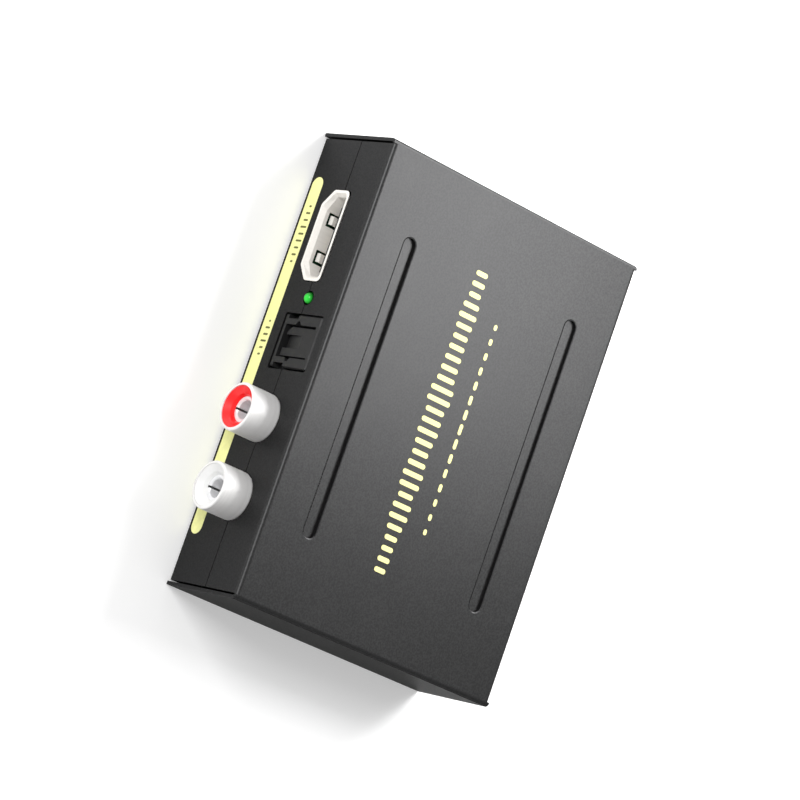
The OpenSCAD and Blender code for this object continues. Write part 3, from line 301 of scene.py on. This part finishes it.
def funnel_moulding(name, colour):
    """Coloured insert of a jack: smooth in its funnel; behind that the bore is painted dark as shade."""
    material, net, shader = finish(name, 0.3)
    grain = place(net, GRAIN, Cells=1800.0, Coarse=0.3)
    _, y, _ = net.split(net.here())
    # painted shade: the colour turns dark grey in the bore behind the funnel
    throat_shade = net.step(y, (THROAT_Y - THROAT_BLEND) * MM, THROAT_Y * MM)
    tone = net.mix(grain["Tone"], times(0.95, colour), colour)
    net.put(shader["Base Color"], net.mix(throat_shade, tone, (0.08, 0.08, 0.08)))
    vary(net, shader["Roughness"], grain["Tone"], 0.06, 0.28)
    net.put(shader["Normal"], bump(net, grain["Height"], 0.006 * MM))
    return material


def printed(name, colour):
    """Silk-screened ink: flat, with a faint mottle where the coat's grain shows through."""
    material, net, shader = finish(name, 0.55)
    grain = place(net, GRAIN, Cells=2600.0, Coarse=0.5)
    net.put(shader["Base Color"], net.mix(grain["Tone"], times(0.93, colour), colour))
    net.put(shader["Normal"], bump(net, grain["Height"], 0.008 * MM))
    return material


def lit_lens():
    """Green light: a clear coloured moulding that glows brightest over its chip, where its colour is also
    painted brighter as a highlight; from its rim on it is painted near black as the shade of the hole
    around it.
    """
    material, net, shader = finish("green_light_lens", 0.25, Specular_IOR_Level=0.3)
    here = net.here()
    from_chip = net.vector("LENGTH", net.vector("SUBTRACT", here, times(MM, LIGHT_CHIP)))
    glow_and_painted_highlight = net.step(from_chip, 0.25 * MM, 1.25 * MM, 1.0, 0.0)
    x, _, z = net.split(net.vector("SUBTRACT", here, times(MM, LIGHT_AXIS)))
    from_axis = net.vector("LENGTH", net.join(x, 0.0, z))
    # painted shade: from the lens's rim on, the colour goes near black and the glow stops, standing in
    # for the shade of the hole around it
    clear = net.step(from_axis, 0.93 * MM, 1.02 * MM, 1.0, 0.0)
    # painted highlight: the base colour is lifted over the chip, on top of the real emission below
    tone = net.mix(glow_and_painted_highlight, (0.0, 0.07, 0.003), (0.01, 0.4, 0.03))
    net.put(shader["Base Color"], net.mix(clear, (0.003, 0.006, 0.003), tone))
    lit = net.mix(glow_and_painted_highlight, (0.0, 0.09, 0.003), (0.05, 0.8, 0.06))
    net.put(shader["Emission Color"], net.mix(clear, (0.0, 0.0, 0.0), lit))
    shader["Emission Strength"].default_value = 0.4
    return material


def circuit_board():
    """Green solder mask with fine tracks under it."""
    material, net, shader = finish("green_solder_mask", 0.3)
    weave = place(net, GRAIN, Cells=1200.0, Coarse=0.5)
    x, y, _ = net.split(net.here())
    cell = net.join(net.math("SNAP", x, 0.8 * MM), net.math("SNAP", y, 3.0 * MM), 0.0)
    tracks = net.step(net.noise(cell, 420.0, 0.0), 0.5, 0.54)
    mask = net.mix(tracks, (0.003, 0.03, 0.012), (0.006, 0.06, 0.02))
    shade = net.math("MULTIPLY", weave["Tone"], 0.25)
    net.put(shader["Base Color"], net.mix(shade, mask, (0.0, 0.015, 0.006)))
    net.put(shader["Normal"], bump(net, tracks, 0.02 * MM))
    return material


def stamped(name, colour, roughness=0.3):
    """Stamped or plated metal with fine lines and a soft mottle."""
    material, net, shader = finish(name, roughness, metallic=1.0)
    lines = place(net, LINES, Stretch=(0.2, 1, 1), Cells=1800.0)
    grain = place(net, GRAIN, Cells=900.0, Coarse=0.4)
    net.put(shader["Base Color"], net.mix(grain["Tone"], times(0.75, colour), colour))
    vary(net, shader["Roughness"], lines["Tone"], 0.12, roughness)
    net.put(shader["Normal"], bump(net, lines["Height"], 0.005 * MM))
    return material


COAT = powder_coat()
BARREL_NICKEL = satin_nickel("turned_nickel", (0.02, 1, 0.02))
PORT_NICKEL = satin_nickel("drawn_nickel", (1, 0.05, 1), (0.88, 0.85, 0.8), 0.48, 0.1)
CONTACT_NICKEL = satin_nickel("drawn_contact_nickel", (1, 0.05, 1), (0.85, 0.85, 0.86), 0.35, 0.35)
BLACK = moulded("black_moulding", (0.017, 0.017, 0.018), 0.42)
JACK_BLACK = moulded("matt_black_moulding", (0.011, 0.011, 0.0115), 0.5, Specular_IOR_Level=0.28)
RED = funnel_moulding("red_moulding", (0.95, 0.012, 0.014))
WHITE = funnel_moulding("white_moulding", (0.86, 0.86, 0.85))
ZINC = stamped("zinc_plate", (0.62, 0.63, 0.66), 0.35)
BRASS = stamped("gold_washed_brass", (0.8, 0.6, 0.28))
CAN = stamped("aluminium_can", (0.78, 0.79, 0.8), 0.25)
TAN = moulded("tan_ceramic", (0.42, 0.3, 0.18), 0.5)
LENS = lit_lens()
BOARD = circuit_board()
STRIP_INK = printed("pale_yellow_print", (0.98, 0.98, 0.42))
MARK_INK = printed("olive_print", (0.13, 0.13, 0.03))
TOP_INK = printed("gold_print", (0.88, 0.84, 0.33))

FINISHES = {
    "upper_shell": COAT, "lower_tray": COAT,
    "red_jack_barrel": BARREL_NICKEL, "white_jack_barrel": BARREL_NICKEL,
    "video_out_shell": PORT_NICKEL, "video_in_shell": PORT_NICKEL,
    "inlet_pin": BARREL_NICKEL, "inlet_spring": ZINC,
    "video_out_insulator": BLACK, "video_in_insulator": BLACK,
    "optical_housing": JACK_BLACK, "optical_shutter": JACK_BLACK, "optical_emitter": BLACK,
    "phono_block": BLACK, "inlet_housing": BLACK, "switch_base": BLACK, "switch_slider": BLACK,
    "video_chip": BLACK, "audio_chip": BLACK, "regulator": BLACK, "coil": BLACK,
    "red_jack_insert": RED, "white_jack_insert": WHITE,
    "red_jack_contact": CONTACT_NICKEL, "white_jack_contact": CONTACT_NICKEL,
    "video_out_contacts": BRASS, "video_in_contacts": BRASS, "board_spacers": BRASS,
    "switch_terminals": BRASS,
    "screw_brackets": ZINC, "case_screws": ZINC, "board_screws": ZINC, "light_leads": ZINC,
    "emitter_leads": ZINC, "shutter_spring": ZINC, "switch_cover": ZINC,
    "crystal": CAN, "capacitors": CAN, "light_lens": LENS, "main_board": BOARD, "small_parts": TAN,
}
for node, material in FINISHES.items():
    mesh = NODES[node].data
    mesh.materials.clear()
    mesh.materials.append(material)

# Width that the finish rounds off the sharp edges of each of these pieces, in millimetres
ROUNDED = {
    "optical_housing": 0.1, "optical_shutter": 0.06, "switch_slider": 0.08, "inlet_housing": 0.12,
    "video_out_shell": 0.04, "video_in_shell": 0.04,
}
for node, width in ROUNDED.items():
    weld = NODES[node].modifiers.new("joined_facets", "WELD")
    weld.merge_threshold = 0.002 * MM
    edge = NODES[node].modifiers.new("rounded_edges", "BEVEL")
    edge.width = width * MM
    edge.segments = 2
    edge.limit_method = "ANGLE"
    edge.angle_limit = math.radians(35)


# Printed pieces


def stand(name, data):
    """Puts a mesh, a light or a camera into the scene."""
    obj = bpy.data.objects.new(name, data)
    bpy.context.scene.collection.objects.link(obj)
    return obj


def quads(rows, columns, closed=False):
    """Quads of a grid of rows by columns, numbered row by row; closed joins the last column on."""
    r, c = np.meshgrid(np.arange(rows - 1), np.arange(columns if closed else columns - 1), indexing="ij")
    n = (c + 1) % columns
    corners = (r * columns + c, r * columns + n, (r + 1) * columns + n, (r + 1) * columns + c)
    return np.stack(corners, -1).reshape(-1, 4)


def piece(name, prints, material):
    """One piece that rides on the case, joined from closed prints, each as (points in millimetres,
    faces). Points that lie together are merged, and all faces are turned outwards."""
    starts = np.cumsum([0] + [points.size // 3 for points, _ in prints[:-1]])
    points = np.concatenate([points.reshape(-1, 3) for points, _ in prints]) * MM
    faces = np.concatenate([faces + start for (_, faces), start in zip(prints, starts)])
    mesh = bpy.data.meshes.new(name)
    mesh.from_pydata(points.tolist(), [], faces.tolist())
    mesh.materials.append(material)
    shape = bmesh.new()
    shape.from_mesh(mesh)
    bmesh.ops.remove_doubles(shape, verts=shape.verts, dist=MERGE * MM)
    bmesh.ops.recalc_face_normals(shape, faces=shape.faces)
    shape.to_mesh(mesh)
    shape.free()
    obj = stand(name, mesh)
    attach(obj, "case")


def on_top(u, v, height):
    """Sheet coordinates on the top: u along X, v along Y."""
    return np.stack([u, v, CASE[2] + height], -1)


def on_front(u, v, height):
    """Sheet coordinates on the front panel: u along X, v up. Below the start of the fold at its foot
    they follow the fold's arc."""
    drop = np.clip(BEND_R - v, 0, BEND_R)
    reach = PANEL_Y - BEND_R + np.sqrt(np.maximum(BEND_R**2 - drop**2, 0))
    out = np.where(drop > 0, reach - (PANEL_Y - BEND_R), BEND_R) / BEND_R
    return np.stack([u, -(reach + height * out), v - height * drop / BEND_R], -1)


def bar(middle, length, width, thick, lay, upright=True, steps=10):
    """A closed print of one bar with round ends, along v where it is upright and else along u. Its
    outline is two half circles joined by straights, and four rings run from its middle line over
    its face, down its rim and back to the middle line under it."""
    a = np.radians(np.concatenate([np.linspace(-90, 90, steps), np.linspace(90, 270, steps)]))
    line = np.stack([np.repeat([1.0, -1.0], steps) * (length - width) / 2, np.zeros(2 * steps)], -1)
    outline = line + np.stack([np.cos(a), np.sin(a)], -1) * width / 2
    rings = np.stack([line, outline, outline, line])
    if upright:
        rings = rings[..., ::-1]
    height = np.broadcast_to(np.array([[thick], [thick], [0.0], [0.0]]), rings.shape[:2])
    points = lay(middle[0] + rings[..., 0], middle[1] + rings[..., 1], height)
    return points, quads(*rings.shape[:2], closed=True)


def level_bars():
    """Row of bars on the top like a level meter. Each length is a least length plus an arch of half
    a sine, which the product of two quicker waves makes uneven."""
    half_row, row_y, count, width = 26.2, -2.7, 29, 0.85
    shortest, rise = 1.4, 4.0
    t = np.arange(count) / (count - 1)
    arch = np.sin(math.pi * (0.12 + 0.76 * t))
    uneven = 0.55 + 0.45 * np.abs(np.sin(9.5 * t + 0.6) * np.cos(23.0 * t))
    lengths = shortest + rise * arch * uneven
    row = -half_row + 2 * half_row * t
    return [bar((x, row_y), length, width, PRINT_THICK, on_top) for x, length in zip(row, lengths)]


def top_dashes():
    """Row of short dashes beside the bars, which shrink from the middle to both ends."""
    middle_x, half_row, row_y, count, width = -0.9, 18.2, 3.7, 15, 0.7
    longest, loss = 1.9, 0.9
    t = np.linspace(-1, 1, count)
    ends = zip(middle_x + half_row * t, longest - loss * np.abs(t))
    return [bar((x, row_y), length, width, PRINT_THICK, on_top, upright=False) for x, length in ends]


def front_strip():
    """Pale strip with round ends along the foot of the front panel. Each row of its grid runs up its
    face and back down under it, and the half height of the rows follows a circle at each end."""
    low, high, left, right = 1.1, 3.92, -32.2, 30.85
    end_steps, straight_steps, across_steps = 12, 60, 17
    half = (high - low) / 2
    ends = half * (1 - np.cos(np.linspace(0, math.pi / 2, end_steps)))
    straight = np.linspace(left + half, right - half, straight_steps)[1:-1]
    u = np.concatenate([left + ends, straight, right - ends[::-1]])
    reach = np.minimum(np.minimum(u - left, right - u), half)
    span = np.sqrt(np.maximum(half**2 - (half - reach) ** 2, 0))
    across = np.linspace(-1, 1, across_steps)
    v = (low + high) / 2 + span[:, None] * np.concatenate([across, across[::-1]])
    height = np.broadcast_to(np.repeat([PRINT_THICK, 0.0], across_steps), v.shape)
    return on_front(np.broadcast_to(u[:, None], v.shape), v, height), quads(*v.shape, closed=True)


def strip_marks():
    """Small plain signs on the strip: two rows of upright bars, long in the middle of each row, one
    beside the video port and one beside the optical jack."""
    row_z, width, rise, odd_extra = 2.75, 0.34, 0.75, 0.22
    marks = []
    for first, last, count, shortest in ((-27.0, -17.2, 9, 0.62), (-6.6, -0.8, 6, 0.5)):
        t = np.linspace(0, 1, count)
        lengths = shortest + rise * np.sin(math.pi * t) + odd_extra * (np.arange(count) % 2)
        for x, length in zip(first + (last - first) * t, lengths):
            marks.append(bar((x, row_z), length, width, MARKS_THICK, on_front, steps=5))
    return marks


piece("level_bars", level_bars(), TOP_INK)
piece("top_dashes", top_dashes(), TOP_INK)
piece("front_strip", [front_strip()], STRIP_INK)
piece("strip_marks", strip_marks(), MARK_INK)


# Floor, lights and camera


def floor():
    """A wide pale floor, white to the camera and to reflections, that keeps the shadow."""
    half_size, drop = 3.0, 0.05 * MM
    material, net = blank("white_floor")
    lit = net.add("ShaderNodeBsdfDiffuse", {"Color": (0.82, 0.82, 0.82, 1)})
    lift = net.add("ShaderNodeEmission", {"Color": (1, 1, 1, 1), "Strength": 0.25})
    both = net.add("ShaderNodeAddShader", {0: lit.outputs[0], 1: lift.outputs[0]})
    path = net.add("ShaderNodeLightPath").outputs
    mirrored = net.math("MAXIMUM", path["Is Glossy Ray"], path["Is Transmission Ray"])
    seen = net.math("MAXIMUM", path["Is Camera Ray"], mirrored)
    mixed = net.add("ShaderNodeMixShader", {0: seen, 1: lit.outputs[0], 2: both.outputs[0]})
    net.add("ShaderNodeOutputMaterial", {"Surface": mixed.outputs[0]})
    side = np.linspace(-half_size, half_size, 3)
    x, y = np.meshgrid(side, side, indexing="ij")
    points = np.stack([x, y, np.full_like(x, -drop)], -1).reshape(-1, 3)
    mesh = bpy.data.meshes.new("floor")
    mesh.from_pydata(points.tolist(), [], quads(*x.shape)[:, ::-1].tolist())
    mesh.materials.append(material)
    stand("floor", mesh)


def soft_light(name, place_at, aim, size, power):
    """A rectangular soft light at a place in metres, turned to its aim."""
    data = bpy.data.lights.new(name, "AREA")
    data.shape = "RECTANGLE"
    data.size, data.size_y = size
    data.energy = power
    obj = stand(name, data)
    obj.location = place_at
    obj.rotation_euler = (Vector(aim) - Vector(place_at)).to_track_quat("-Z", "Y").to_euler()


def studio():
    """World, colour settings and three soft lights. Seen from the front, one is close over the left
    end of the top, one lights the front and its fold, and one stands behind the left end. The first
    one's aim lies a hair off straight down, which settles how the light is turned."""
    world = bpy.data.worlds.new("studio")
    bpy.context.scene.world = world
    world.use_nodes = True
    sky = world.node_tree.nodes["Background"].inputs
    sky["Color"].default_value = (1, 1, 1, 1)
    sky["Strength"].default_value = 0.55
    bpy.context.scene.view_settings.view_transform = "Standard"
    soft_light("near_softbox", (-0.117, 0.085, 0.15), (-0.117, 0.0849, 0.0), (0.2, 0.1), 0.62)
    soft_light("front_softbox", (-0.12, -0.42, 0.33), (-0.02, 0, 0.01), (0.2, 0.11), 1.6)
    soft_light("edge_softbox", (-0.68, 0.54, 0.24), (-0.03, 0, 0.01), (0.25, 0.5), 6.5)


def photo_camera():
    """The photograph's view: place and direction solved from the corners of the case."""
    focal_pixels, photo_pixels, sensor = 4336.885, 800.0, 36.0
    data = bpy.data.cameras.new("photo_camera")
    data.sensor_width = sensor
    data.lens = focal_pixels * sensor / photo_pixels
    data.clip_start, data.clip_end = 0.05, 20.0
    right = Vector((-0.32488, 0.71709, 0.61663))
    down = Vector((0.93403, 0.34561, 0.09020))
    ahead = Vector((-0.14843, 0.60526, -0.78206))
    turn = Matrix((right, -down, -ahead)).transposed()
    obj = stand("photo_camera", data)
    obj.matrix_world = Matrix.Translation(Vector((104.954, -442.435, 577.290)) * MM) @ turn.to_4x4()
    bpy.context.scene.camera = obj


floor()
studio()
photo_camera()
